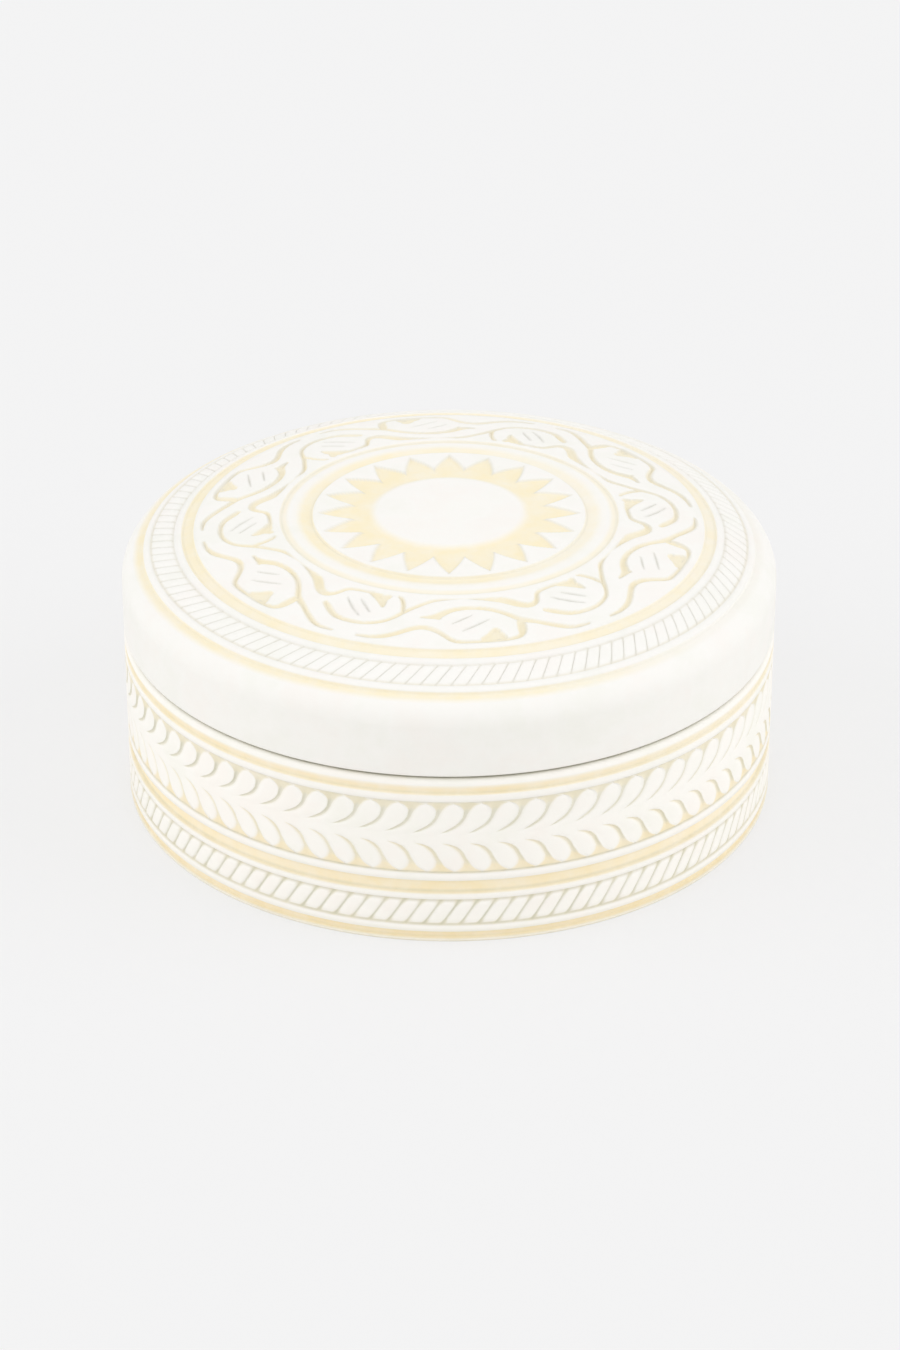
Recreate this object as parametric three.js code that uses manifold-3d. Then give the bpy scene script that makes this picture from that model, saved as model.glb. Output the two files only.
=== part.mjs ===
// A round keepsake box in two pieces, turned and carved from a pale stone-like material.
// The base is a straight-sided bowl with a spigot inside its rim. The domed lid is hollow, drops over the
// spigot and rests on the rim. Both are turned in bands and rings, and some of these are carved: rope, leaves,
// a sunburst and a running vine.
// Lengths are millimetres, +Z is up, and the origin is the centre of the underside. Angles are degrees round
// the box from its front, which faces -Y, and they grow towards +X.
import * as THREE from "three";
import Module from "manifold-3d";

const wasm = await Module();
wasm.setup();

// Driving dimensions: the whole box.
const outerRadius = 65;
const baseHeight = 35.8;
const lidHeight = 23.3;
const domeRise = 10;
const seatGap = 0.3;
const edgeRounding = 1.2;

// Driving dimensions: walls and the fit between the pieces.
const floorThickness = 7;
const lidWall = 5;
const crownThickness = 6;
const spigotThickness = 2.65;
const spigotHeight = 4;
const spigotClearance = 0.35;
const spigotChamfer = 0.5;
const floorFillet = 5;
const ceilingFillet = 4;

// Driving dimensions: the bands on the wall, from the underside up to the leaf band.
const footRim = 0.35;
const footGroove = 2.15;
const footRing = 1.05;
const wallRope = 4.8;
const lowerRing = 1.1;
const wideGroove = 3.2;
const middleRing = 1.35;

// Driving dimensions: the bands on the wall, from the rim down to the leaf band.
const rimLip = 1.3;
const rimGroove = 2.4;
const upperRing = 1.2;

// Driving dimensions: the rings on the lid, from the centre out to the vine band.
const discRadius = 14.8;
const discSlope = 2;
const rayRoots = 19.6;
const sunRadius = 25.9;
const sunRing = 1.1;
const innerGroove = 3.5;
const bead = 2.3;
const innerVineRing = 1.3;

// Driving dimensions: the rings on the lid, from its edge in to the vine band.
const shoulderWidth = 2.6;
const edgeGroove = 1.85;
const edgeRing = 1.1;
const lidRope = 3.9;
const outerRing = 1;
const outerGroove = 2.9;
const outerVineRing = 1.4;

// Driving dimensions: how deep things are cut, and how wide the sloping sides of the turned grooves are.
const wallGrooveDepth = 0.8;
const lidGrooveDepth = 0.6;
const grooveSide = 0.4;
const softSide = 1.4;
const beadSide = 2;
const scoreWidth = 0.6;
const scoreDepth = 0.35;
const ropeDepth = 0.35;
const leafDepth = 0.7;
const sunDepth = 0.5;
const vineDepth = 0.6;

// The carved patterns: how often each repeats round the box, where its first repeat starts and how far a rope
// tile leans over its band, both in shares of a repeat.
const wallRopeTiles = 117;
const wallRopeStartsAt = -0.34;
const wallRopeLean = 0.96;
const lidRopeTiles = 129;
const lidRopeStartsAt = 0.16;
const lidRopeLean = -0.97;
const leafCount = 78;
const leafStartsAt = 0.62;
const sunRays = 20;
const vinePeriods = 6;
const vineCrest = 1.5;

// The gaps between the leaves, from the low edge of each row to its high edge. Each line is a height as a share
// of the leaf band, how far the gap has swept round in leaves, and its half width.
const lowerGaps = [
  [0.03, 0.15, 1.4],
  [0.2, 0.02, 0.5],
  [0.41, -0.62, 0.3],
];
const upperGaps = [
  [0.6, -0.75, 0.25],
  [0.75, -0.15, 0.4],
  [0.97, 0.09, 1.3],
];

// The vine is cut with strokes of a V-shaped gouge, in a band that is drawn strokeBand wide. Each point is its
// angle from the stem's crest, its place across that band, and its half width.
const strokeBand = 14;
const gougeSteepness = 1.4;
const strokes = {
  underInnerLeaf: [
    [-35.5, 6.9, 0.4],
    [-32, 8.8, 0.42],
    [-27, 10, 0.32],
    [-21.5, 9.7, 0.26],
    [-16.5, 7.4, 0.27],
    [-12.3, 3.8, 0.32],
    [-8.7, 1.6, 0.3],
    [-4, 0.3, 0.14],
  ],
  innerLeafHook: [
    [-16.8, 0.4, 0.15],
    [-15.2, 1.9, 0.25],
    [-14.3, 4.5, 0.28],
  ],
  overOuterLeaf: [
    [-8.5, 6.1, 0.15],
    [-4.6, 5.5, 0.62],
    [-0.5, 3.5, 0.48],
    [5, 3.1, 0.38],
    [11, 4.4, 0.36],
    [17, 8.2, 0.48],
    [21, 10, 0.4],
    [28.5, 13.3, 0.15],
  ],
  underOuterLeaf: [
    [17.4, 8.6, 0.4],
    [17, 11.3, 0.32],
    [15.2, 13.1, 0.28],
    [7, 13.4, 0.25],
    [-0.6, 12.8, 0.3],
    [-4, 10.4, 0.38],
    [-7.8, 9.2, 0.45],
    [-12, 10.5, 0.42],
    [-16.5, 12.7, 0.36],
    [-20.5, 13.4, 0.15],
  ],
  downToInnerLeaf: [
    [8.5, 0.4, 0.15],
    [12, 1, 0.5],
    [16.5, 2.3, 0.75],
    [20.5, 4.2, 0.66],
    [23.5, 4, 0.42],
    [26, 1.6, 0.3],
    [31, 0.5, 0.2],
  ],
};

// The notch in each leaf of the vine, as a pit with sloping sides. Its corners are written like the strokes'
// points and run clockwise.
const notches = {
  outerLeaf: [
    [6, 13],
    [9.2, 10.2],
    [10.8, 9.4],
    [12.5, 12.9],
  ],
  innerLeaf: [
    [-19.7, 0.5],
    [-19.3, 3.5],
    [-20.6, 4.1],
    [-26, 0.7],
  ],
};
const notchTaper = 0.6;

// How finely round forms are divided, and how far a cutter stands out of the surface that it cuts.
const sides = 48;
const filletSteps = 2;
const shoulderSteps = 3;
const domeSteps = 2;
const cutterLift = 0.3;

// Sizes that follow.
const lidInnerRadius = outerRadius - lidWall;
const spigotRadius = lidInnerRadius - spigotClearance;
const baseInnerRadius = spigotRadius - spigotThickness;
const wallRopeStart = footRim + footGroove + footRing + scoreWidth;
const wallRopeEnd = wallRopeStart + wallRope;
const wideGrooveStart = wallRopeEnd + scoreWidth + lowerRing;
const leafStart = wideGrooveStart + wideGroove + middleRing + scoreWidth;
const rimGrooveEnd = baseHeight - rimLip;
const leafEnd = rimGrooveEnd - rimGroove - upperRing - scoreWidth;
const sunEdge = sunRadius + sunRing;
const beadStart = sunEdge + innerGroove;
const vineStart = beadStart + bead + scoreWidth + innerVineRing;
const edgeGrooveEnd = outerRadius - shoulderWidth;
const lidRopeEnd = edgeGrooveEnd - edgeGroove - edgeRing - scoreWidth;
const lidRopeStart = lidRopeEnd - lidRope;
const outerGrooveEnd = lidRopeStart - scoreWidth - outerRing;
const outerGrooveStart = outerGrooveEnd - outerGroove;
const vineEnd = outerGrooveStart - outerVineRing;

// The dome: how high the lid's outer surface lies over its own underside, and how steeply it falls.
const domeShares = [
  [0.256, 2],
  [0.457, 4],
  [0.287, 10],
];

function domeHeight(radius) {
  const drop = domeShares.reduce(
    (sum, [share, power]) => sum + share * (radius / outerRadius) ** power,
    0,
  );
  return lidHeight - domeRise * drop;
}

function domeAngle(radius) {
  const rate = domeShares.reduce(
    (sum, [share, power]) =>
      sum + share * power * (radius / outerRadius) ** (power - 1),
    0,
  );
  return Math.atan((domeRise * rate) / outerRadius);
}

// A point that lies depth under the dome, square to it. With a negative depth it lies over the dome.
function underDome(radius, depth) {
  const angle = domeAngle(radius);
  return [
    radius - depth * Math.sin(angle),
    domeHeight(radius) - depth * Math.cos(angle),
  ];
}

const onWall = (height) => (depth) => [outerRadius - depth, height];
const onDome = (radius) => (depth) => underDome(radius, depth);

// A ring of points. Its columns repeat count times round the box. Each column is its place in shares of a
// repeat, and what the function place needs to find the point's radius and height.
function repeated(count, shift, columns, place) {
  return Array.from({ length: count }, (_, i) =>
    columns.map(([offset, value]) => [
      ((i + shift + offset) * 360) / count,
      ...place(value),
    ]),
  ).flat();
}

function plain([radius, height]) {
  return repeated(sides, 0, [[0]], () => [radius, height]);
}

function pole(height) {
  return [[0, 0, height]];
}

// Plain rings on the wall or the dome, through places and their depths.
function turned(places, surfaceAt) {
  return places.map(([at, depth]) => plain(surfaceAt(at)(depth)));
}

// A turned groove with a flat floor between two sloping sides.
function groove(from, to, depth, near = grooveSide, far = grooveSide) {
  return [
    [from, 0],
    [from + near, depth],
    [to - far, depth],
    [to, 0],
  ];
}

// The two rings of a rope band. Their points lie by turns in a notch and on a tile's crest.
function rope(count, shift, lean, from, to, surfaceAt) {
  const columns = [
    [0, ropeDepth],
    [0.5, 0],
  ];
  return [
    repeated(count, shift, columns, surfaceAt(from)),
    repeated(count, shift + lean, columns, surfaceAt(to)),
  ];
}

// One row of leaves. Each gap has a left edge, a bottom and a right edge.
function leaves(gaps) {
  const pitch = (2 * Math.PI * outerRadius) / leafCount;
  return gaps.map(([share, sweep, halfWidth]) => {
    const columns = [
      [-halfWidth / pitch, 0],
      [0, Math.min(leafDepth, halfWidth * gougeSteepness)],
      [halfWidth / pitch, 0],
    ];
    const height = leafStart + (leafEnd - leafStart) * share;
    return repeated(leafCount, leafStartsAt + sweep, columns, onWall(height));
  });
}

// The points of an arc about a centre, from one angle to another. It may be taller than it is wide.
function arc(centre, radius, from, to, steps = filletSteps, height = radius) {
  return Array.from({ length: steps + 1 }, (_, i) => {
    const angle = from + ((to - from) * i) / steps;
    return [
      centre[0] + radius * Math.cos(angle),
      centre[1] + height * Math.sin(angle),
    ];
  });
}

// The arc that leaves a falling slope at a point and ends upright on a wall, from its upright end.
function shoulder(start, slope, wallRadius, steps) {
  const radius = (wallRadius - start[0]) / (1 - Math.sin(slope));
  const centre = [wallRadius - radius, start[1] - radius * Math.cos(slope)];
  return arc(centre, radius, 0, Math.PI / 2 - slope, steps);
}

// The base: underside, wall with its bands, rim, spigot, and the bowl down to the floor.
function baseRings() {
  const lip = arc(
    [outerRadius - edgeRounding, rimGrooveEnd],
    edgeRounding,
    0,
    Math.PI / 2,
    filletSteps,
    rimLip,
  );
  const spigotTop = baseHeight + spigotHeight;
  const bowl = arc(
    [baseInnerRadius - floorFillet, floorThickness + floorFillet],
    floorFillet,
    0,
    -Math.PI / 2,
  );
  const wallBelowRope = [
    ...groove(footRim, footRim + footGroove, wallGrooveDepth),
    [wallRopeStart - scoreWidth, 0],
    [wallRopeStart - scoreWidth / 2, scoreDepth],
  ];
  const wallAboveRope = [
    [wallRopeEnd + scoreWidth / 2, scoreDepth],
    [wallRopeEnd + scoreWidth, 0],
    ...groove(wideGrooveStart, wideGrooveStart + wideGroove, wallGrooveDepth),
    [leafStart - scoreWidth, 0],
    [leafStart - scoreWidth / 2, leafDepth],
  ];
  const wallAboveLeaves = [
    [leafEnd + scoreWidth / 2, leafDepth],
    [leafEnd + scoreWidth, 0],
    ...groove(rimGrooveEnd - rimGroove, rimGrooveEnd, wallGrooveDepth, grooveSide, softSide),
  ];
  const stem = leafStart + ((leafEnd - leafStart) * (lowerGaps.at(-1)[0] + upperGaps[0][0])) / 2;
  return [
    pole(0),
    plain([outerRadius - footRim, 0]),
    ...turned(wallBelowRope, onWall),
    ...rope(wallRopeTiles, wallRopeStartsAt, wallRopeLean, wallRopeStart, wallRopeEnd, onWall),
    ...turned(wallAboveRope, onWall),
    ...leaves(lowerGaps),
    plain([outerRadius, stem]),
    ...leaves(upperGaps),
    ...turned(wallAboveLeaves, onWall),
    ...lip.slice(1).map(plain),
    plain([spigotRadius, baseHeight]),
    plain([spigotRadius, spigotTop - spigotChamfer]),
    plain([spigotRadius - spigotChamfer, spigotTop]),
    plain([baseInnerRadius, spigotTop]),
    ...bowl.map(plain),
    pole(floorThickness),
  ];
}

// The lid without its sunburst and vine: the hollow, the seat, the side, the shoulder and the dome's rings.
function lidRings() {
  const ceiling = (radius) => domeHeight(radius) - crownThickness;
  const filletRoom = ceiling(lidInnerRadius) - spigotHeight;
  const fillet = Math.min(ceilingFillet, 0.6 * filletRoom);
  const ceilingEdge = lidInnerRadius - fillet;
  const hollow = Array.from({ length: domeSteps }, (_, i) => {
    const radius = (ceilingEdge * (i + 1)) / domeSteps;
    return [radius, ceiling(radius)];
  });
  const corner = shoulder(hollow.at(-1), domeAngle(ceilingEdge), lidInnerRadius, filletSteps);
  const outerCorner = shoulder(
    underDome(edgeGrooveEnd, 0),
    domeAngle(edgeGrooveEnd),
    outerRadius,
    shoulderSteps,
  );
  const edge = arc([outerRadius - edgeRounding, edgeRounding], edgeRounding, -Math.PI / 2, 0);
  const domeOutsideRope = [
    [lidRopeEnd + scoreWidth / 2, scoreDepth],
    [lidRopeEnd + scoreWidth, 0],
    ...groove(edgeGrooveEnd - edgeGroove, edgeGrooveEnd, lidGrooveDepth, grooveSide, softSide / 2),
  ];
  const domeInsideRope = [
    [discRadius, 0],
    ...groove(sunEdge, beadStart, lidGrooveDepth, grooveSide, beadSide),
    [beadStart + bead, 0],
    [beadStart + bead + scoreWidth / 2, scoreDepth],
    [beadStart + bead + scoreWidth, 0],
    [(vineStart + vineEnd) / 2, 0],
    ...groove(outerGrooveStart, outerGrooveEnd, lidGrooveDepth),
    [lidRopeStart - scoreWidth, 0],
    [lidRopeStart - scoreWidth / 2, scoreDepth],
  ];
  const lidRopeRings = rope(
    lidRopeTiles,
    lidRopeStartsAt,
    lidRopeLean,
    lidRopeStart,
    lidRopeEnd,
    onDome,
  );
  return [
    pole(ceiling(0)),
    ...hollow.slice(0, -1).map(plain),
    ...corner.reverse().map(plain),
    plain([lidInnerRadius, 0]),
    ...edge.map(plain),
    ...outerCorner.slice(0, -1).map(plain),
    ...turned(domeOutsideRope.reverse(), onDome),
    ...lidRopeRings.reverse(),
    ...turned(domeInsideRope.reverse(), onDome),
    pole(domeHeight(0)),
  ];
}

// The places of a ring's points in the order of their angles, each with its angle within one turn.
function inOrder(ring) {
  return ring
    .map(([angle], place) => ({ angle: THREE.MathUtils.euclideanModulo(angle, 360), place }))
    .sort((a, b) => a.angle - b.angle);
}

// Triangles between two rings with different numbers of points. Each triangle takes the next point of the ring
// that lies behind.
function weave(below, above) {
  const low = inOrder(below);
  const high = inOrder(above);
  const lowSteps = low.length > 1 ? low.length : 0;
  const highSteps = high.length > 1 ? high.length : 0;
  const angleOf = (ring, i) => ring[i % ring.length].angle + (i < ring.length ? 0 : 360);
  const placeOf = (ring, i) => ring[i % ring.length].place;
  const faces = [];
  let i = 0;
  let j = 0;
  while (i < lowSteps || j < highSteps) {
    const lowIsNext = j >= highSteps || (i < lowSteps && angleOf(low, i + 1) <= angleOf(high, j + 1));
    if (lowIsNext) {
      faces.push([placeOf(low, i), placeOf(low, i + 1), below.length + placeOf(high, j)]);
      i += 1;
    } else {
      faces.push([placeOf(low, i), below.length + placeOf(high, j + 1), below.length + placeOf(high, j)]);
      j += 1;
    }
  }
  return faces;
}

// Two triangles for each side between two rings with the same number of points.
function bridge(count) {
  return Array.from({ length: count }, (_, i) => {
    const next = (i + 1) % count;
    return [
      [i, next, count + next],
      [i, count + next, count + i],
    ];
  }).flat();
}

// A closed surface through rings of points. Each point is its angle, radius and height. The rings follow each
// other with the solid on their left. They end in poles, or the last one leads back to the first, or flat ends
// close them.
function surface(rings, ending = "poles") {
  const points = rings.flat().map(([angle, radius, height]) => {
    const turn = THREE.MathUtils.degToRad(angle);
    return [radius * Math.sin(turn), -radius * Math.cos(turn), height];
  });
  const starts = rings.map((_, i) => rings.slice(0, i).flat().length);
  const faces = [];
  const joints = ending === "loop" ? rings.length : rings.length - 1;
  for (let i = 0; i < joints; i += 1) {
    const j = (i + 1) % rings.length;
    const count = rings[i].length;
    const place = (k) => (k < count ? starts[i] + k : starts[j] + k - count);
    const between = count === rings[j].length ? bridge(count) : weave(rings[i], rings[j]);
    faces.push(...between.map((face) => face.map(place)));
  }
  if (ending === "flat") {
    const last = starts.at(-1);
    for (let k = 1; k < rings[0].length - 1; k += 1) {
      faces.push([0, k + 1, k], [last, last + k, last + k + 1]);
    }
  }
  const geometry = new THREE.BufferGeometry();
  geometry.setAttribute("position", new THREE.Float32BufferAttribute(points.flat(), 3));
  geometry.setIndex(faces.flat());
  return geometry;
}

function solid(geometry) {
  const mesh = new wasm.Mesh({
    numProp: 3,
    vertProperties: new Float32Array(geometry.attributes.position.array),
    triVerts: new Uint32Array(geometry.index.array),
  });
  return new wasm.Manifold(mesh);
}

function geometryOf(body) {
  const mesh = body.getMesh();
  const geometry = new THREE.BufferGeometry();
  geometry.setAttribute("position", new THREE.BufferAttribute(mesh.vertProperties, 3));
  geometry.setIndex(new THREE.BufferAttribute(mesh.triVerts, 1));
  return geometry;
}

// The sunburst's cutter: a soft slope round the disc, a flat floor, and rays that end in points.
function sunCutter() {
  const circle = (radius) => [
    [0, radius],
    [0.5, radius],
  ];
  const star = [
    [0, sunRadius],
    [0.5, rayRoots],
  ];
  const over = (radius) => underDome(radius, -cutterLift);
  const under = (radius) => underDome(radius, sunDepth);
  const rise = (discSlope * cutterLift) / sunDepth;
  return surface(
    [
      repeated(sunRays, 0, circle(discRadius - rise), over),
      repeated(sunRays, 0, circle(discRadius + discSlope), under),
      repeated(sunRays, 0, star, under),
      repeated(sunRays, 0, star, over),
    ],
    "loop",
  );
}

// A place in the vine band of one period, as an angle and a radius.
function inVine(period, angle, across) {
  return [
    vineCrest + (360 / vinePeriods) * period + angle,
    vineStart + (across * (vineEnd - vineStart)) / strokeBand,
  ];
}

// A cutter that follows a stroke with its V section.
function gouge(stroke, period) {
  const sections = stroke.map(([angle, across, halfWidth], i) => {
    const [turn, radius] = inVine(period, angle, across);
    const [turnBefore, radiusBefore] = inVine(period, ...stroke[Math.max(i - 1, 0)]);
    const [turnAfter, radiusAfter] = inVine(period, ...stroke[Math.min(i + 1, stroke.length - 1)]);
    const along = new THREE.Vector2(
      THREE.MathUtils.degToRad(turnAfter - turnBefore) * radius,
      radiusAfter - radiusBefore,
    ).normalize();
    const depth = Math.min(vineDepth, halfWidth * gougeSteepness);
    const reach = (halfWidth * (depth + cutterLift)) / depth;
    const corner = (offset, deep) => [
      turn - THREE.MathUtils.radToDeg((along.y * offset) / radius),
      ...underDome(radius + along.x * offset, deep),
    ];
    return [corner(-reach, -cutterLift), corner(reach, -cutterLift), corner(0, depth)];
  });
  return surface(sections, "flat");
}

// A cutter with flat ends, narrower at the bottom of the pit that it cuts.
function notchCutter(corners, period) {
  const middle = [0, 1].map(
    (part) => corners.reduce((sum, corner) => sum + corner[part], 0) / corners.length,
  );
  const ring = (size, depth) =>
    corners.map((corner) => {
      const [angle, across] = corner.map((value, part) => middle[part] + (value - middle[part]) * size);
      const [turn, radius] = inVine(period, angle, across);
      return [turn, ...underDome(radius, depth)];
    });
  const widening = 1 + ((1 - notchTaper) * cutterLift) / vineDepth;
  return surface([ring(widening, -cutterLift), ring(notchTaper, vineDepth)], "flat");
}

function carvedLid() {
  const periods = Array.from({ length: vinePeriods }, (_, period) => period);
  const cutters = [
    sunCutter(),
    ...periods.flatMap((period) => [
      ...Object.values(strokes).map((stroke) => gouge(stroke, period)),
      ...Object.values(notches).map((corners) => notchCutter(corners, period)),
    ]),
  ];
  const body = cutters.reduce(
    (left, cutter) => left.subtract(solid(cutter)),
    solid(surface(lidRings())),
  );
  return geometryOf(body);
}

function piece(name, geometry, colour, height) {
  const material = new THREE.MeshStandardMaterial({
    color: colour,
    roughness: 0.42,
    metalness: 0,
    flatShading: true,
  });
  const mesh = new THREE.Mesh(geometry, material);
  mesh.name = name;
  mesh.position.z = height;
  return mesh;
}

const box = new THREE.Group();
box.add(piece("base", surface(baseRings()), 0xfbf4e6, 0));
box.add(piece("lid", carvedLid(), 0xfdf8ee, baseHeight + seatGap));

export default box;
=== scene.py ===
"""A round keepsake box in pale carved stone, dressed in full detail and set on a plain studio floor.

Lengths are millimetres until a mesh is made, which is in metres. Angles round the box start at the side
that faces the viewer and grow to the viewer's right. Depths are measured inwards, square to the surface.

Every point of a surface has two amounts beside its place. Wash is how much of the thin yellow colour lies on
it. The other is painted shade: how much grey is painted into the narrow lines, corners and seams for the shade
that falls there, which turns brown above 1.

A fade is a pair of values: something is nil at the first and full at the second. Either may be the larger.
"""
import math
from collections import namedtuple

import bpy
import numpy as np
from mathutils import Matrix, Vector


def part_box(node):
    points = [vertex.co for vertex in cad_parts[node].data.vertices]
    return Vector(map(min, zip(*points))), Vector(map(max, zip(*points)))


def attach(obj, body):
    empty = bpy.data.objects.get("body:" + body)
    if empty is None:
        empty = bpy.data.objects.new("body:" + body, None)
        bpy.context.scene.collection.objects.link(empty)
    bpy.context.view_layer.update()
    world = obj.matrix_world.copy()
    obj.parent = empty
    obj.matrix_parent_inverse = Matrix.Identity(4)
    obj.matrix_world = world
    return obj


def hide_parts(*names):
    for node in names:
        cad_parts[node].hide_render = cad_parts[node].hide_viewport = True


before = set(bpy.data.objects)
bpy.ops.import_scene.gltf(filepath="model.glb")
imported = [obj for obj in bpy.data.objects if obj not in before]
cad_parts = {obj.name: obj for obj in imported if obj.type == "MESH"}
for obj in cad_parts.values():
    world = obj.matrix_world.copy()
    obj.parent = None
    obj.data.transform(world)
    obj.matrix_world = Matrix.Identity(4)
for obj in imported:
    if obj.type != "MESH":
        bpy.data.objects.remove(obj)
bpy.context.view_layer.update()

MM = 0.001


def linear(red, green, blue):
    """A colour as the eye sees it on a screen, 0 to 255, as the light it gives."""
    return tuple(((c / 255 + 0.055) / 1.055) ** 2.4 for c in (red, green, blue))


# The stone's colours for each piece: where it is raised, where it is cut away, and the grey of the painted
# shade in the narrow lines. The lid's yellow and grey are paler than the base's, a painted reflection standing
# in for the pale sheen on the lid's top.
LID_COLOURS = (linear(250, 248, 242), linear(251, 239, 204), linear(224, 222, 210))
BASE_COLOURS = (linear(253, 250, 242), linear(253, 237, 198), linear(213, 211, 189))
# The brown of the painted shade in the seam between the pieces.
SEAM_SHADE_BROWN = linear(138, 130, 108)
# How the raised colour clouds over: places in a noise, and the share of each colour that is left there.
CLOUD_SHADES = ((0.36, (0.98, 0.985, 0.97)), (0.5, (1, 1, 1)), (0.64, (1, 0.985, 0.98)))
# Noises in the stone: how many go into a metre, and their detail.
CLOUD_NOISE = (95.0, 4.0)
GRAIN_NOISE = (1500.0, 2.0)
BLOTCH_NOISE = (210.0, 4.0)
NOISE_ROUGHNESS = 0.6
# How the blotches between two values thin the stain and roughen the finish, each between two amounts.
STAIN_FROM_BLOTCH = (0.3, 0.65, 0.62, 1.0)
FINISH_FROM_BLOTCH = (0.3, 0.7, 0.5, 0.65)
STONE_IOR = 1.45
STONE_SPECULAR = 0.35
GRAIN_STRENGTH = 0.12
GRAIN_DEPTH = 0.2

# Sizes that the frame gives.
LID_LOW, LID_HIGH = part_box("lid")
RADIUS = LID_HIGH[0] / MM
SEAT = LID_LOW[2] / MM
LID_HEIGHT = LID_HIGH[2] / MM - SEAT
SPIGOT_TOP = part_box("base")[1][2] / MM

# The seat between the pieces, and the walls.
SEAT_GAP = 0.3
RIM = SEAT - SEAT_GAP
LID_WALL = 5.0
SPIGOT_CLEARANCE = 0.35
SPIGOT_THICKNESS = 2.65
CROWN = 6.0
FLOOR = 7.0
LID_BORE = RADIUS - LID_WALL
SPIGOT = LID_BORE - SPIGOT_CLEARANCE
BOWL = SPIGOT - SPIGOT_THICKNESS

# Rounded edges and inner corners. The lip's arc begins at an angle, in degrees, so that it leaves the wall
# with a faint edge.
EDGE_ROUNDING = 1.2
SMALL_ROUNDING = 0.6
FOOT_ROUNDING = 0.35
LIP_HEIGHT = 1.3
LIP_START_ANGLE = 5.0
FLOOR_FILLET = 5.0
CEILING_FILLET = 4.0

# How much painted shade darkens the seam where the pieces meet, the top of the base's lip and the foot, where
# shade falls, and the foot's share of the wash, which also stands in for the shade there.
SEAM_SHADE = 1.6
SEAT_SHADE = 1.8
LIP_SHADE = 0.9
FOOT_SHADE = 0.7
FOOT_SHADE_WASH = 0.4
# Painted shade: the lid's side is a little darker than its top, as less light falls on it. The fade is in
# heights over the lid's underside.
SIDE_SHADE = 0.17
SIDE_SHADE_FADE = (15.5, 10.5)

# The dome falls away from its middle as a sum of shares, each with a power of the radius, and passes into the
# lid's rounded shoulder at a radius.
DOME_RISE = 10.0
DOME_SHARES = ((0.256, 2), (0.457, 4), (0.287, 10))
LID_SHOULDER_START = 62.4

# Turned channels with a flat floor between two sloping sides, and thin scored rings. On the lid they are
# placed by radius, and on the wall by height. A channel's lines are how much painted shade darkens the corners
# at the foot of its sloping sides, and a ring's line is how much painted shade darkens the ring. The last
# value of a channel is the share by which its wash is paler on the channel's right side.
Channel = namedtuple("Channel", "start end depth rise fall start_line end_line worn")
Score = namedtuple("Score", "place width depth wash line")

LID_CHANNELS = (
    Channel(60.5, 62.4, 0.45, 0.4, 1.5, 0.1, 0.0, 0.9),
    Channel(50.45, 53.15, 0.45, 0.4, 0.4, 0.1, 0.15, 0.2),
    Channel(31.5, 33.7, 0.3, 1.6, 0.5, 0.0, 0.4, 0.0),
    Channel(26.85, 30.4, 0.45, 0.4, 2.6, 0.3, 0.0, 0.4),
)
LID_SCORES = (
    Score(59.15, 0.6, 0.3, 0.4, 0.3),
    Score(54.65, 0.6, 0.3, 0.2, 0.3),
)
WALL_CHANNELS = (
    Channel(0.5, 2.35, 0.8, 0.4, 0.4, 0.2, 0.1, 0.0),
    Channel(10.6, 13.75, 0.8, 0.4, 0.4, 0.5, 0.1, 0.1),
    Channel(32.35, 34.5, 0.5, 0.4, 1.5, 0.35, 0.0, 0.3),
)
WALL_SCORES = (
    Score(0.6, 1.0, 0.0, 0.3, 0.3),
    Score(3.85, 0.6, 0.35, 0.6, 0.7),
    Score(9.3, 0.6, 0.35, 0.3, 0.5),
    Score(15.5, 0.6, 0.35, 0.6, 0.7),
    Score(30.8, 0.6, 0.35, 0.3, 0.45),
)
# The width of the painted shade at a channel's corner.
CORNER_LINE = 0.28
# The wash rises faster than the depth does. Past a soft side it goes on a little, and a shallow cut has less.
WASH_GAIN = 1.6
SOFT_SIDE = 1.0
SOFT_WASH = 0.6
FULL_WASH_DEPTH = 0.5
# The fades, in degrees, at both ends of the side where the wash is paler.
PALER_RIGHT_STARTS = (0.0, 58.0)
PALER_RIGHT_ENDS = (200.0, 140.0)

# Rope bands. A gap starts at a share of a tile and leans over the band, in tiles, from its first edge on.
# A gap widens by a mouth at its ends, which has some wash in it. The line is how much painted shade darkens a
# gap.
Rope = namedtuple("Rope", "start end tiles begins lean gap mouth wash line")
LID_ROPE = Rope(54.65, 59.15, 129, 0.235, -1.12, 0.26, 0.3, 0.3, 0.75)
WALL_ROPE = Rope(3.85, 9.3, 117, -0.4, 0.98, 0.48, 0.8, 1.0, 0.9)
ROPE_MOUTH_LENGTH = 1.6
ROPE_DEPTH = 0.3
ROPE_ROUNDING = 0.16
# Where the points of a ring lie across a tile, in shares of it.
ROPE_COLUMNS = np.array([0.0, 0.045, 0.09, 0.16, 0.28, 0.5, 0.72, 0.84, 0.91, 0.955])
ROPE_ROWS = 11

# How far the turned rings stay away from the rope and leaf bands and from the vine, and how far the sunburst
# goes on past the outer ends of its points.
BAND_MARGIN = 0.3
VINE_MARGIN = 0.4
SUN_MARGIN = 0.4

# How far from a cut its rounded edge begins, and where it is lowest.
ROUNDING_FADE = (1.0, 0.0)

# The leaf band: leaves above and below a plain stem. A gap between two leaves is steep on one side and rises
# softly on the other. The steep side is on the left in the upper row, and on the right in the lower one.
LEAF_COUNT = 78
LEAF_BEGINS = 0.62
LEAF_BAND = (15.5, 30.6)
LEAF_DEPTH = 0.3
LEAF_PITCH = 2 * math.pi * RADIUS / LEAF_COUNT
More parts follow.
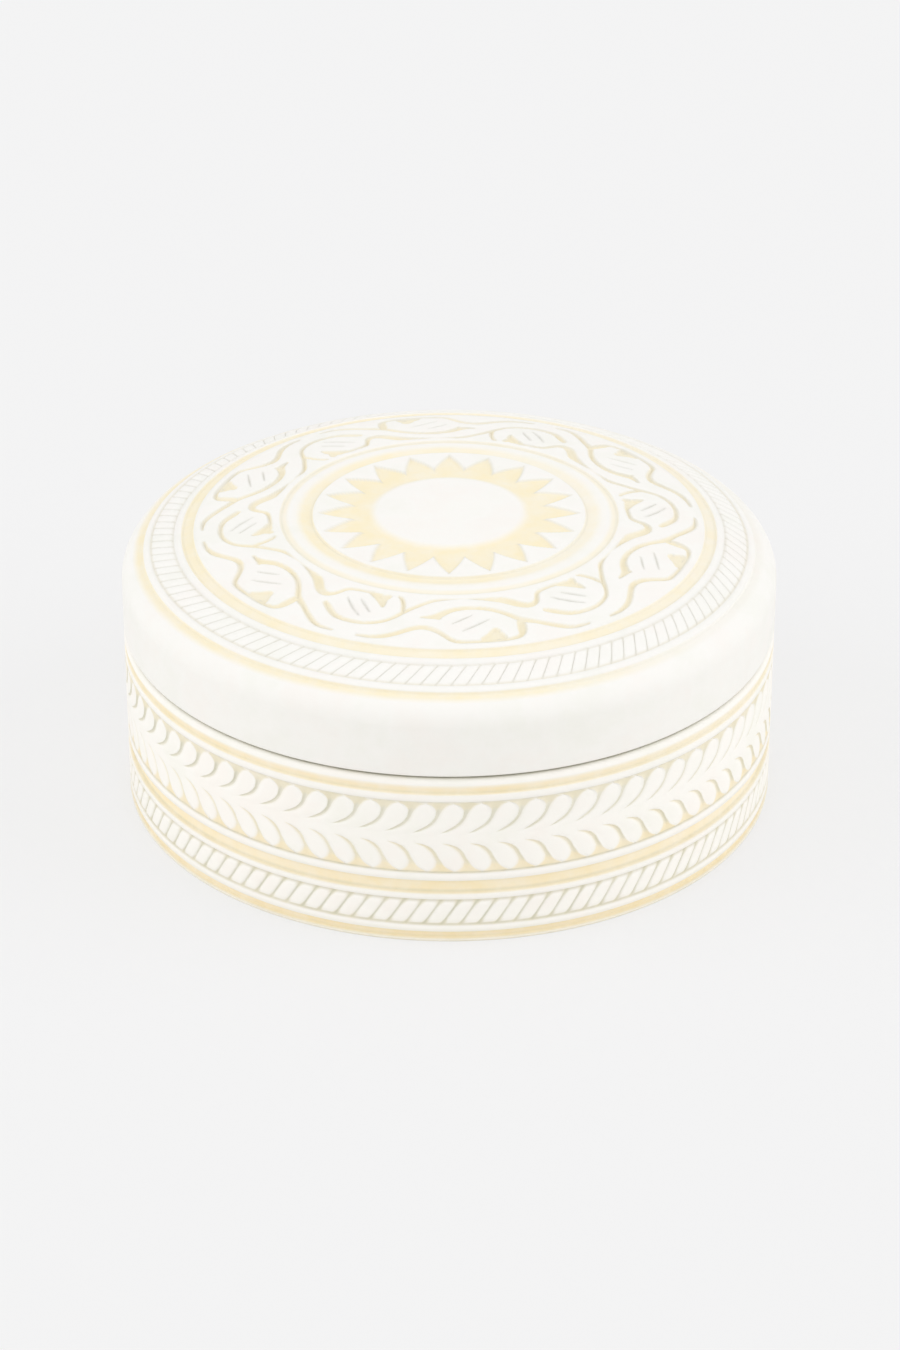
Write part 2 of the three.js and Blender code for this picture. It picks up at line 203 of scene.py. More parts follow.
# Along a gap: height, how far it has swept round in leaves, and its half width.
LOWER_GAP = (
    (15.5, 0.09, 2.5),
    (15.85, 0.09, 2.45),
    (16.1, 0.08, 2.0),
    (16.3, 0.07, 1.65),
    (16.7, 0.055, 1.15),
    (17.1, 0.035, 0.85),
    (17.86, 0.005, 0.54),
    (18.89, -0.09, 0.42),
    (19.91, -0.185, 0.48),
    (20.73, -0.325, 0.58),
    (21.24, -0.45, 0.6),
    (21.7, -0.65, 0.52),
    (22.05, -0.87, 0.0),
)
UPPER_GAP = (
    (24.15, -0.95, 0.0),
    (24.5, -0.75, 0.46),
    (25.25, -0.49, 0.58),
    (25.95, -0.305, 0.52),
    (26.65, -0.18, 0.45),
    (27.6, -0.07, 0.4),
    (28.3, -0.025, 0.44),
    (29.13, 0.03, 0.64),
    (29.64, 0.045, 0.96),
    (29.94, 0.045, 1.25),
    (30.15, 0.045, 1.5),
    (30.35, 0.045, 1.85),
    (30.47, 0.045, 2.2),
    (30.55, 0.045, 2.5),
    (30.6, 0.045, 2.5),
)
LEAF_STEP = 0.3
STEM_STEP = 1.0
# Where the points of a ring lie: across a gap in its half widths, and over the leaf beyond in shares of it.
GAP_COLUMNS = np.array([-1.0, -0.8, -0.55, -0.2, 0.2, 0.6, 1.0])
LEAF_COLUMNS = np.array([0.12, 0.28, 0.5, 0.76, 0.94])
# The least half width that the points follow, and how far above and below a height the gap's lean is taken.
LEAST_HALF = 0.12
LEAN_SPAN = 0.2
# Half widths from which a gap counts in full: along the ring for its colour, and square to its run for its
# depth.
FULL_HALF = 0.3
FULL_SQUARE = 0.36
# Fades across a gap, in its half widths from the middle.
STEEP_SIDE = (-1.0, -0.1)
STAIN_STARTS = (-1.1, -0.75)
STAIN_ENDS = (1.2, 0.6)
STEEP_LINE = (0.2, -0.7)
# The soft side starts at a share of the half width and reaches over the leaf, by a share of it at most.
SOFT_START = 0.2
SOFT_REACH = 1.3
SOFT_SHARE = 0.7
LEAF_ROUNDING = 0.12
LEAF_ROUNDING_FADE = (0.8, 0.0)
# The fade from a narrow gap to a wide one, in half widths, and the wash and the painted shade in each.
WIDE_GAP = (0.4, 1.0)
GapTint = namedtuple("GapTint", "narrow_wash wide_wash narrow_grime wide_grime")
LOWER_TINT = GapTint(0.6, 1.0, 0.4, 0.15)
UPPER_TINT = GapTint(0.2, 0.8, 0.6, 0.5)
# Painted shade added along a gap's steep side.
STEEP_SHADE = 0.3

# The sunburst: a soft-edged disc, a sunken ring, and white points that reach in from the outer ring. Its radii
# are those of the disc's edge, of the points' tips and of the places where the points meet.
DISC_EDGE = (14.0, 16.3)
SUN_RAYS = 20
SUN_TIPS = 19.6
SUN_ENDS = 25.9
SUN_DEPTH = 0.5
# Fades over the distance inside the sunken ring's edge.
SUN_SIDE = (-0.12, 0.48)
SUN_WASH = (0.02, 0.42)
# How much painted shade darkens the edges of the sunburst's points.
SUN_LINE = 0.5
SUN_LINE_STARTS = (-0.1, 0.15)
SUN_LINE_ENDS = (0.5, 0.15)

# The vine: six equal lengths of a wavy stem with one leaf on each side. It is cut with gouge strokes, each
# a path of angle in degrees from the stem's crest, radius, and half width.
VINE_PERIODS = 6
VINE_CREST = 1.5
VINE_BAND = (34.7, 49.05)
VINE_DEPTH = 0.6
# The strokes are stretched outwards a little, away from an inner radius.
VINE_INNER = 35.0
VINE_STRETCH = 1.023
VINE_STROKES = (
    # Under the inner leaf and up the stem to its crest.
    (
        (-35.7, 41.8, 0.3), (-34.3, 42.5, 0.46), (-32, 43.8, 0.44), (-30, 44.6, 0.36),
        (-27, 45.0, 0.3), (-24, 45.0, 0.26), (-21, 44.5, 0.24), (-18, 43.4, 0.22),
        (-16, 42.0, 0.24), (-14, 40.1, 0.3), (-12.2, 38.7, 0.28), (-10.4, 37.6, 0.26),
        (-8.6, 36.6, 0.27), (-7, 35.9, 0.27), (-5, 35.4, 0.2), (-2, 35.15, 0.0), (2.5, 35.05, -0.16),
    ),
    # The outer edge of the inner leaf's hook.
    ((-17.2, 35.2, 0.05), (-16.2, 35.7, 0.2), (-15.2, 36.9, 0.24), (-14.6, 38.2, 0.26), (-14.2, 39.8, 0.28)),
    # Over the outer leaf and down the stem.
    (
        (-8.8, 41.1, 0.05), (-7.2, 41.0, 0.25), (-4.8, 40.6, 0.62), (-3, 39.6, 0.6),
        (-1, 38.7, 0.48), (1.5, 38.2, 0.42), (4, 38.05, 0.36), (7, 38.3, 0.34), (10, 39.0, 0.34),
        (12.5, 40.1, 0.34), (14.5, 41.4, 0.36), (16.2, 42.7, 0.42), (18, 43.7, 0.46), (20, 44.5, 0.36),
        (22, 45.6, 0.34), (24, 46.7, 0.36), (26, 47.7, 0.34), (28, 48.3, 0.22), (31.5, 48.5, 0.04),
    ),
    ((-5.2, 40.8, 0.45), (-4.2, 41.2, 0.3)),
    # Down the right of the outer leaf, under it, and back over the lower filler.
    (
        (16.5, 43.7, 0.6), (16.2, 45, 0.7), (15.9, 46.2, 0.65), (15.5, 47.1, 0.48), (14.5, 47.9, 0.28),
        (12, 48.3, 0.22), (8, 48.3, 0.22), (4, 48.3, 0.2), (0.8, 48.2, 0.24), (-0.8, 47.7, 0.28),
        (-2.2, 46.7, 0.3), (-3.8, 45.5, 0.34), (-5.6, 44.6, 0.4), (-7.8, 44.2, 0.44), (-9.8, 44.5, 0.44),
        (-12, 45.5, 0.4), (-14, 46.6, 0.4), (-16, 47.5, 0.38), (-18, 48.05, 0.3), (-20, 48.35, 0.2),
        (-22.5, 48.45, 0.04),
    ),
    # The notch in the outer leaf.
    ((9.6, 45.7, 0.75), (9.3, 46.3, 1.0), (8.9, 46.9, 1.15)),
    ((8.9, 46.9, 1.15), (6.4, 47.7, 0.45)),
    ((9.4, 46.5, 1.05), (10.4, 47.2, 0.75), (11.2, 47.8, 0.35)),
    # From the crest down the far side of the stem, and up the next inner leaf to its notch.
    (
        (2.5, 35.05, -0.16), (5.5, 35.15, -0.05), (7.5, 35.3, 0.1), (9.5, 35.5, 0.24), (12, 35.9, 0.5),
        (14.5, 36.4, 0.75), (16.5, 37.3, 0.78), (18.4, 38.4, 0.74), (20.4, 39.2, 0.66), (22.3, 39.3, 0.52),
        (23.8, 38.7, 0.38), (24.8, 37.7, 0.3), (25.7, 36.6, 0.28), (27, 35.9, 0.26), (29, 35.6, 0.2),
        (31.5, 35.4, 0.2), (34.5, 35.4, 0.24),
    ),
    # The notch in the inner leaf.
    ((39.7, 39.1, 0.12), (39.1, 38.0, 0.55), (38.1, 36.9, 0.85), (37.0, 36.2, 0.85)),
    ((37.0, 36.2, 0.85), (34.3, 35.6, 0.35)),
    ((38.3, 36.9, 0.8), (39.0, 36.2, 0.7), (39.8, 35.7, 0.4)),
)
# Fades over the distance outside a stroke: the cut's sloping sides, the wash in it, and the line of painted
# shade at its edge.
VINE_SIDE = (0.4, -0.35)
VINE_WASH = (0.3, 0.0)
VINE_LINE_STARTS = (0.4, 0.15)
VINE_LINE_ENDS = (-0.25, -0.05)
VINE_ROUNDING = 0.07
# Painted shade laid over the wash in a stroke.
VINE_WASH_SHADE = 0.2
# The line of painted shade is darker towards one side of a stroke, to the right and outwards, where shade
# falls. This close to the middle of the stroke the sides are hardly told apart.
VINE_DARK_SIDE = (0.6, 0.8)
VINE_DARK_FADE = (-0.1, 0.7)
VINE_PALE_LINE = 0.1
VINE_DARK_LINE = 0.7
VINE_MIDDLE = 0.05
# Two fine lines on each leaf of the vine, written like the strokes and filled with painted shade.
FINE_STROKES = (
    ((-0.9, 43.1, 0.05), (1.7, 41.8, 0.16), (4.5, 40.6, 0.05)),
    ((1.8, 45.2, 0.05), (5.1, 43.7, 0.16), (8.9, 42.1, 0.05)),
    ((-27.6, 38.0, 0.05), (-25.2, 39.7, 0.15), (-22.6, 41.6, 0.05)),
    ((-31.6, 38.6, 0.05), (-28.4, 40.8, 0.16), (-24.8, 43.1, 0.05)),
)
FINE_SIDE = (0.15, -0.1)
FINE_DEPTH = 0.27

# How finely the meshes are divided: points round a ring, steps between rings, and parts of a stroke's curve.
PLAIN_COUNT = 200
HIDDEN_COUNT = 120
PLAIN_STEP = 1.6
LEAST_STEP = 0.02
VINE_COUNT = 960
VINE_STEP = 0.3
SUN_COUNT = 400
SUN_STEP = 0.36
CURVE_PARTS = 4
# Rings across a channel's sloping side and across a scored ring, in shares of their widths, and the number of
# those across a channel's floor.
SIDE_ROWS = (0, 0.25, 0.5, 0.75, 1)
CHANNEL_ROWS = 5
SCORE_ROWS = (-0.5, -0.33, -0.16, 0, 0.16, 0.33, 0.5)
# Rings across the ceiling, the lid's side, the bowl's wall and the rim.
CEILING_ROWS = 12
LID_SIDE_ROWS = 7
BOWL_ROWS = 6
RIM_ROWS = 4
# Radius and number of points of the rings on flat parts.
DISC_RINGS = ((12.0, PLAIN_COUNT), (8.0, 120), (4.0, 60), (1.6, 30))
UNDERSIDE_RINGS = ((20.0, 60), (45.0, 120))
BOWL_RINGS = ((38.0, 120), (20.0, 60))

# The floor, in metres from its middle to its edge, and how much of its own colour the camera sees without
# light or shadow.
FLOOR_COLOUR = linear(243, 242.8, 242.6)
FLOOR_REACH = 4.0
FLOOR_ROUGHNESS = 0.9
FLOOR_GLOW = 0.7

# The light from all round, and the lamps: name, direction, and strength.
STUDIO_LIGHT = 0.8
LAMPS = (
    ("left", (-0.86, -0.18, 0.48), 0.2),
    ("right", (0.87, -0.1, 0.48), 0.222),
    ("top", (-0.1, -0.5, 0.86), 0.045),
)
LAMP_SPREAD = 50.0
LAMP_COLOUR = (0.92, 0.93, 1.0)

# The camera: its height in degrees, its distance in radii of the box, what it looks at, and its lens.
CAMERA_HEIGHT = 29.2
CAMERA_DISTANCE = 13.044
CAMERA_TARGET = (0.17, 0.0, 22.07)
CAMERA_LENS = 112.0
CAMERA_SENSOR = 36.0


def ramp(x, nil_at, full_at):
    """Goes smoothly from 0, where x is nil_at, to 1, where it is full_at."""
    share = np.clip((x - nil_at) / (full_at - nil_at), 0.0, 1.0)
    return share * share * (3 - 2 * share)


def even(count):
    """Angles of a ring of evenly spaced points."""
    return np.arange(count) * (360.0 / count)


def dome(radius):
    """Height of the plain dome over the lid's underside, and the angle at which it falls."""
    share = radius / RADIUS
    drop = sum(part * share**power for part, power in DOME_SHARES)
    rate = sum(part * power * share ** (power - 1) for part, power in DOME_SHARES)
    return LID_HEIGHT - DOME_RISE * drop, np.arctan(DOME_RISE * rate / RADIUS)


def channels(at, cuts, scores):
    """Depth, wash and painted shade of the turned cuts at one place across the bands."""
    depth = wash = grime = 0.0
    for cut in cuts:
        floor_start, floor_end = cut.start + cut.rise, cut.end - cut.fall
        started = ramp(at, cut.start, floor_start)
        beyond = SOFT_WASH if cut.fall > SOFT_SIDE else 0.0
        coloured = started * ramp(at, cut.end + beyond, floor_end)
        depth = max(depth, cut.depth * started * ramp(at, cut.end, floor_end))
        wash = max(wash, min(1.0, WASH_GAIN * coloured) * min(1.0, cut.depth / FULL_WASH_DEPTH))
        for corner, line in ((floor_start, cut.start_line), (floor_end, cut.end_line)):
            grime = max(grime, line * math.exp(-(((at - corner) / CORNER_LINE) ** 2)))
    for score in scores:
        inside = ramp(abs(at - score.place), score.width / 2, 0.0)
        depth = max(depth, score.depth * inside)
        wash = max(wash, score.wash * inside)
        grime = max(grime, score.line * inside)
    return depth, wash, grime


def wash_share_at(at, angles, cuts):
    """The share of a channel's wash at each angle, which is paler on its right side."""
    worn = max((cut.worn for cut in cuts if cut.start <= at <= cut.end + SOFT_WASH), default=0.0)
    return 1 - worn * ramp(angles, *PALER_RIGHT_STARTS) * ramp(angles, *PALER_RIGHT_ENDS)


def places(start, end, cuts, scores):
    """Places of rings between start and end, close together at the cuts' sloping sides."""
    found = [start, end]
    for cut in cuts:
        found += [cut.start + cut.rise * share for share in SIDE_ROWS]
        found += [cut.end - cut.fall * share for share in SIDE_ROWS]
        found += list(np.linspace(cut.start + cut.rise, cut.end - cut.fall, CHANNEL_ROWS))
    for score in scores:
        found += [score.place + score.width * share for share in SCORE_ROWS]
    found = sorted(at for at in found if start <= at <= end)
    filled = [found[0]]
    for at in found[1:]:
        gap = at - filled[-1]
        if gap < LEAST_STEP:
            continue
        parts = max(1, math.ceil(gap / PLAIN_STEP))
        filled += [filled[-1] + gap * (i + 1) / parts for i in range(parts)]
    return filled


def add(name, data):
    """A new object in the scene."""
    made = bpy.data.objects.new(name, data)
    bpy.context.collection.objects.link(made)
    return made


class Skin:
    """A closed surface of revolution, made ring by ring with the solid on the left of the profile."""

    def __init__(self):
        self.points = []
        self.tints = []
        self.faces = []
        self.last = None
        self.total = 0

    def ring(self, radius, height, angles, wash=0.0, grime=0.0):
        """A ring joined to the one before it. Each value is one number or one for each angle."""
        turn = np.radians(angles)
        radius, height, wash, grime = (
            np.broadcast_to(value, turn.shape) for value in (radius, height, wash, grime)
        )
        self.points.append(np.stack([radius * np.sin(turn), -radius * np.cos(turn), height], axis=1))
        self.tints.append(np.stack([wash, grime], axis=1))
        ring = (self.total, angles)
        self.total += len(angles)
        if self.last is not None:
            self.join(self.last, ring)
        self.last = ring

    def pole(self, height):
        self.ring(0.0, height, np.zeros(1))

    def join(self, before, after):
        """Quads between rings of the same count, and else triangles."""
        first, low = before
        second, high = after
        if len(low) == len(high):
            i = np.arange(len(low))
            j = (i + 1) % len(low)
            quads = np.stack([first + i, first + j, second + j, second + i], axis=1)
            self.faces += quads.tolist()
        elif len(low) == 1:
            count = len(high)
            self.faces += [[first, second + (i + 1) % count, second + i] for i in range(count)]
        elif len(high) == 1:
            count = len(low)
            self.faces += [[first + i, first + (i + 1) % count, second] for i in range(count)]
        else:
            self.stitch(first, low, second, high)

    def stitch(self, first, low, second, high):
        """Triangles between two rings of different counts, which start at about the same angle."""
        many, few = len(low), len(high)
        begin = int(np.argmin(np.abs((high - low[0] + 180) % 360 - 180)))
        high = np.concatenate([high[begin:], high[:begin] + 360])
        high -= 360 * round((high[0] - low[0]) / 360)
        a = b = 0
        while a < many or b < few:
            next_low = low[a + 1] if a + 1 < many else low[0] + 360
            next_high = high[b + 1] if b + 1 < few else high[0] + 360
            here = first + a % many
            there = second + (begin + b) % few
            if b >= few or (a < many and next_low <= next_high):
                self.faces.append([here, first + (a + 1) % many, there])
                a += 1
            else:
                self.faces.append([here, second + (begin + b + 1) % few, there])
                b += 1

    def build(self, name, lift=0.0):
        """The finished object, raised by a lift. It carries the wash and the painted shade as attributes."""
        points = np.concatenate(self.points)
        points[:, 2] += lift
        mesh = bpy.data.meshes.new(name)
        mesh.from_pydata((points * MM).tolist(), [], self.faces)
        tints = np.concatenate(self.tints)
        for column, label in enumerate(("wash", "grime")):
            layer = mesh.attributes.new(label, "FLOAT", "POINT")
            layer.data.foreach_set("value", tints[:, column].astype(np.float32))
        mesh.polygons.foreach_set("use_smooth", np.ones(len(mesh.polygons), bool))
        mesh.update()
        return add(name, mesh)


def wall_ring(skin, height, angles, depth, wash, grime):
    skin.ring(RADIUS - depth, height, angles, wash, grime)


def dome_ring(skin, radius, angles, depth, wash=0.0, grime=0.0):
    height, slope = dome(radius)
    skin.ring(radius - depth * np.sin(slope), height - depth * np.cos(slope), angles, wash, grime)


def arc(skin, centre, size, begin, end, parts=6, wash=0.0, grime=(0.0, 0.0)):
    """Rings along a round corner, which may be taller than it is wide. Painted shade fades from both of its
    ends.
    """
    for share in np.linspace(0, 1, parts + 1):
        angle = math.radians(begin + (end - begin) * share)
        arc_shade = max(grime[0] * (1 - share) ** 2, grime[1] * share**4)
        radius, height = centre[0] + size[0] * math.cos(angle), centre[1] + size[1] * math.sin(angle)
        skin.ring(radius, height, even(PLAIN_COUNT), wash, arc_shade)


def shoulder(start, slope, wall, parts):
    """Radius and height along the arc from an upright wall to start, where it falls at a slope."""
    size = (wall - start[0]) / (1 - math.sin(slope))
    centre = (wall - size, start[1] - size * math.cos(slope))
    turns = np.linspace(0, math.pi / 2 - slope, parts + 1)
    return [(centre[0] + size * math.cos(turn), centre[1] + size * math.sin(turn)) for turn in turns]


# A surface that turned cuts go round: how a ring of it is made, the radius at a place on it, and its cuts.
Surface = namedtuple("Surface", "ring radius cuts scores")
WALL = Surface(wall_ring, lambda at: RADIUS, WALL_CHANNELS, WALL_SCORES)
DOME = Surface(dome_ring, lambda at: at, LID_CHANNELS, LID_SCORES)


def turned(skin, surface, start, end):
    """Rings of a turned part of a surface, from start to end, which may be the smaller of the two."""
    angles = even(PLAIN_COUNT)
    rows = places(min(start, end), max(start, end), surface.cuts, surface.scores)
    for at in rows if start < end else rows[::-1]:
        depth, wash, grime = channels(at, surface.cuts, surface.scores)
        surface.ring(skin, at, angles, depth, wash * wash_share_at(at, angles, surface.cuts), grime)


def rope_cut(columns, tile_width, to_end, rope):
    """Depth, wash and painted shade of a rope band: narrow gaps that open at both ends between rounded tiles.
    """
    from_gap = np.abs((columns + 0.5) % 1 - 0.5) * tile_width
    mouth = 1 - min(1.0, to_end / ROPE_MOUTH_LENGTH)
    gap = ramp(from_gap, rope.gap + rope.mouth * mouth**2, 0.0)
    rounded = ROPE_ROUNDING * ramp(np.minimum(from_gap, to_end), *ROUNDING_FADE)
    return np.maximum(ROPE_DEPTH * gap, rounded), rope.wash * gap * mouth, rope.line * gap


def rope_band(skin, surface, rope, first, last):
    """Rings of a rope band, from its first row to its last, which are shares of its width."""
    columns = (np.arange(rope.tiles)[:, None] + ROPE_COLUMNS).ravel()
    width = rope.end - rope.start
    for share in np.linspace(first, last, ROPE_ROWS):
        at = rope.start + width * share
        tile_width = 2 * math.pi * surface.radius(at) / rope.tiles
        cut = rope_cut(columns, tile_width, min(share, 1 - share) * width, rope)
        deepest = [np.maximum(*both) for both in zip(cut, channels(at, surface.cuts, surface.scores))]
        angles = (columns + rope.begins + rope.lean * share) * 360.0 / rope.tiles
        surface.ring(skin, at, angles, *deepest)


def smooth_path(stroke):
    """A stroke's points with more between them, on a curve through all of them."""
    knots = np.array(stroke, float)
    if len(knots) < 3:
        return knots
    padded = np.vstack([2 * knots[0] - knots[1], knots, 2 * knots[-1] - knots[-2]])
    path = []
    for a, b, c, d in zip(padded, padded[1:], padded[2:], padded[3:]):
        for share in np.arange(CURVE_PARTS) / CURVE_PARTS:
            bend = (2 * a - 5 * b + 4 * c - d) * share**2 + (3 * b - a - 3 * c + d) * share**3
            path.append(b + ((c - a) * share + bend) / 2)
    path.append(knots[-1])
    return np.array(path)


def vine_segments(strokes):
    """Every stroke as short straight pieces: two arrays of angle, radius and half width."""
    starts, ends = [], []
    for stroke in strokes:
        path = smooth_path(stroke)
        path[:, 1] = VINE_INNER + (path[:, 1] - VINE_INNER) * VINE_STRETCH
        starts.append(path[:-1])
        ends.append(path[1:])
    return np.concatenate(starts), np.concatenate(ends)


def vine_row(radius, angles, starts, ends):
    """How far each point of a ring lies outside the nearest stroke, which is negative inside it, and how much
    it lies towards the side with the dark line, from -1 to 1."""
    period = 360.0 / VINE_PERIODS
    local = (angles - VINE_CREST + period / 2) % period - period / 2
    scale = math.radians(1) * radius
    nearest = np.full(len(angles), np.inf)
    side = np.zeros(len(angles))
    everyone = np.arange(len(angles))
    for shift in (-period, 0.0, period):
        x = (local[:, None] + shift) * scale
        ax, ay, aw = starts[:, 0] * scale, starts[:, 1], starts[:, 2]
        bx, by, bw = ends[:, 0] * scale, ends[:, 1], ends[:, 2]
        dx, dy = bx - ax, by - ay
        along = np.clip(((x - ax) * dx + (radius - ay) * dy) / (dx * dx + dy * dy), 0, 1)
        right, out = x - ax - along * dx, radius - ay - along * dy
        middle = np.hypot(right, out)
        away = middle - aw - along * (bw - aw)
        pick = (everyone, away.argmin(axis=1))
        closer = away[pick] < nearest
        towards = (right * VINE_DARK_SIDE[0] + out * VINE_DARK_SIDE[1]) / np.maximum(middle, VINE_MIDDLE)
        side = np.where(closer, towards[pick], side)
        nearest = np.where(closer, away[pick], nearest)
    return nearest, side


def vine_band(skin):
    """Rings of the vine band, from the outer edge in."""
    inner, outer = VINE_BAND
    angles = even(VINE_COUNT)
    strokes = vine_segments(VINE_STROKES)
    fine_strokes = vine_segments(FINE_STROKES)
    for radius in np.linspace(outer, inner, round((outer - inner) / VINE_STEP) + 1):
        away, side = vine_row(radius, angles, *strokes)
        cut = VINE_DEPTH * ramp(away, *VINE_SIDE)
        rounded = VINE_ROUNDING * ramp(away, *ROUNDING_FADE)
        fine = ramp(vine_row(radius, angles, *fine_strokes)[0], *FINE_SIDE)
        wash = ramp(away, *VINE_WASH)
        dark = VINE_PALE_LINE + (VINE_DARK_LINE - VINE_PALE_LINE) * ramp(side, *VINE_DARK_FADE)
        line = dark * ramp(away, *VINE_LINE_STARTS) * ramp(away, *VINE_LINE_ENDS)
        depth = np.maximum.reduce([cut, rounded, FINE_DEPTH * fine])
        grime = np.maximum.reduce([VINE_WASH_SHADE * wash, line, fine])
        dome_ring(skin, radius, angles, depth, wash, grime)


def sunburst(skin):
    """Rings of the sunburst and the disc in its middle, from the outer ring in."""
    angles = even(SUN_COUNT)
    half_period = 180.0 / SUN_RAYS
    local = np.abs((angles + half_period) % (2 * half_period) - half_period)
    length = SUN_ENDS - SUN_TIPS
    width = SUN_ENDS + SUN_MARGIN - DISC_EDGE[0]
    for radius in np.linspace(DISC_EDGE[0] + width, DISC_EDGE[0], round(width / SUN_STEP) + 1):
        reach = (SUN_ENDS - radius) / length * half_period
        slope = math.cos(math.atan(math.radians(half_period) * radius / length))
        inside = (reach - local) * math.radians(1) * radius * slope
        sunken = ramp(radius, *DISC_EDGE)
        line = SUN_LINE * ramp(inside, *SUN_LINE_STARTS) * ramp(inside, *SUN_LINE_ENDS)
        depth, wash = SUN_DEPTH * ramp(inside, *SUN_SIDE), ramp(inside, *SUN_WASH)
        dome_ring(skin, radius, angles, depth * sunken, wash * sunken, line * sunken)
    for radius, count in DISC_RINGS:
        dome_ring(skin, radius, even(count), 0.0)
    skin.pole(dome(0.0)[0])


def make_lid():
    skin = Skin()
    ceiling_edge = LID_BORE - CEILING_FILLET
    skin.pole(dome(0.0)[0] - CROWN)
    for radius in np.linspace(0, ceiling_edge, CEILING_ROWS)[1:-1]:
        skin.ring(radius, dome(radius)[0] - CROWN, even(HIDDEN_COUNT))
    height, slope = dome(ceiling_edge)
    for radius, height in reversed(shoulder((ceiling_edge, height - CROWN), slope, LID_BORE, parts=8)):
        skin.ring(radius, height, even(PLAIN_COUNT))
    arc(skin, (LID_BORE + SMALL_ROUNDING, SMALL_ROUNDING), (SMALL_ROUNDING, SMALL_ROUNDING), 180, 270)
    centre = (RADIUS - EDGE_ROUNDING, EDGE_ROUNDING)
    arc(skin, centre, (EDGE_ROUNDING, EDGE_ROUNDING), -90, 0, parts=8, grime=(SEAM_SHADE, SIDE_SHADE))
    height, slope = dome(LID_SHOULDER_START)
    rounded = shoulder((LID_SHOULDER_START, height), slope, RADIUS, parts=12)
    side = [(RADIUS, height) for height in np.linspace(EDGE_ROUNDING, rounded[0][1], LID_SIDE_ROWS)[1:-1]]
    for radius, height in side + rounded[:-1]:
        # Painted shade on the lid's side.
        skin.ring(radius, height, even(PLAIN_COUNT), 0.0, SIDE_SHADE * ramp(height, *SIDE_SHADE_FADE))
    turned(skin, DOME, LID_SHOULDER_START, LID_ROPE.end + BAND_MARGIN)
    rope_band(skin, DOME, LID_ROPE, 1, 0)
    turned(skin, DOME, LID_ROPE.start - BAND_MARGIN, VINE_BAND[1] + VINE_MARGIN)
    vine_band(skin)
    turned(skin, DOME, VINE_BAND[0] - VINE_MARGIN, SUN_ENDS + 2 * SUN_MARGIN)
    sunburst(skin)
    return skin.build("carved_lid", SEAT)


def leaf_rows():
    """Heights of the leaf band's rings: every named one, and more between those that lie far apart."""
    named = [row[0] for row in LOWER_GAP + UPPER_GAP]
    rows = [named[0]]
    for height in named[1:]:
        limit = STEM_STEP if height == UPPER_GAP[0][0] else LEAF_STEP
        parts = math.ceil((height - rows[-1]) / limit)
        rows += list(np.linspace(rows[-1], height, parts + 1)[1:])
    return rows


def leaf_gap(height):
    """How far the gap has swept at a height, in leaves, its half width, and that width square to its run."""
    heights, sweeps, halves = np.array(LOWER_GAP + UPPER_GAP).T
    below, sweep, above = np.interp([height - LEAN_SPAN, height, height + LEAN_SPAN], heights, sweeps)
    half = np.interp(height, heights, halves)
    lean = (above - below) * LEAF_PITCH / (2 * LEAN_SPAN)
    return sweep, half, half / math.hypot(1, lean)


def leaf_ring(skin, height):
    """One ring of the leaf band. Its points follow the gaps between the leaves."""
    sweep, half, square = leaf_gap(height)
    spread = max(half, LEAST_HALF)
    leaf = LEAF_PITCH - 2 * spread
    # Here x runs across the gap from its steep side, and over the leaf beyond its soft side.
    x = np.concatenate([GAP_COLUMNS * spread, spread + LEAF_COLUMNS * leaf])
    across = x / spread
    strength = min(1.0, half / FULL_HALF)
    soft_end = spread + min(SOFT_REACH, SOFT_SHARE * leaf)
    soft = np.clip((x - SOFT_START * spread) / (soft_end - SOFT_START * spread), 0, 1)
    cut = LEAF_DEPTH * min(1.0, square / FULL_SQUARE) * ramp(across, *STEEP_SIDE) * (1 - soft) ** 2
    rounded = LEAF_ROUNDING * strength * ramp(LEAF_PITCH - spread - x, *LEAF_ROUNDING_FADE)
    lower = height < UPPER_GAP[0][0]
    tint = LOWER_TINT if lower else UPPER_TINT
    wide = ramp(half, *WIDE_GAP)
    inside = strength * ramp(across, *STAIN_STARTS) * ramp(across, *STAIN_ENDS)
    wash = inside * (tint.narrow_wash * (1 - wide) + tint.wide_wash * wide)
    # Painted shade in the gap, darker along its steep side.
    narrow_grime = tint.narrow_grime + STEEP_SHADE * ramp(across, *STEEP_LINE)
    grime = inside * (narrow_grime * (1 - wide) + tint.wide_grime * wide)
    carved = (np.maximum(cut, rounded), wash, grime)
    depth, wash, grime = [np.maximum(*both) for both in zip(carved, channels(height, (), WALL_SCORES))]
    if lower:
        x, depth, wash, grime = -x[::-1], depth[::-1], wash[::-1], grime[::-1]
    columns = (np.arange(LEAF_COUNT)[:, None] + x / LEAF_PITCH + LEAF_BEGINS + sweep).ravel()
    around = [np.tile(values, LEAF_COUNT) for values in (depth, wash, grime)]
    wall_ring(skin, height, columns * 360 / LEAF_COUNT, *around)


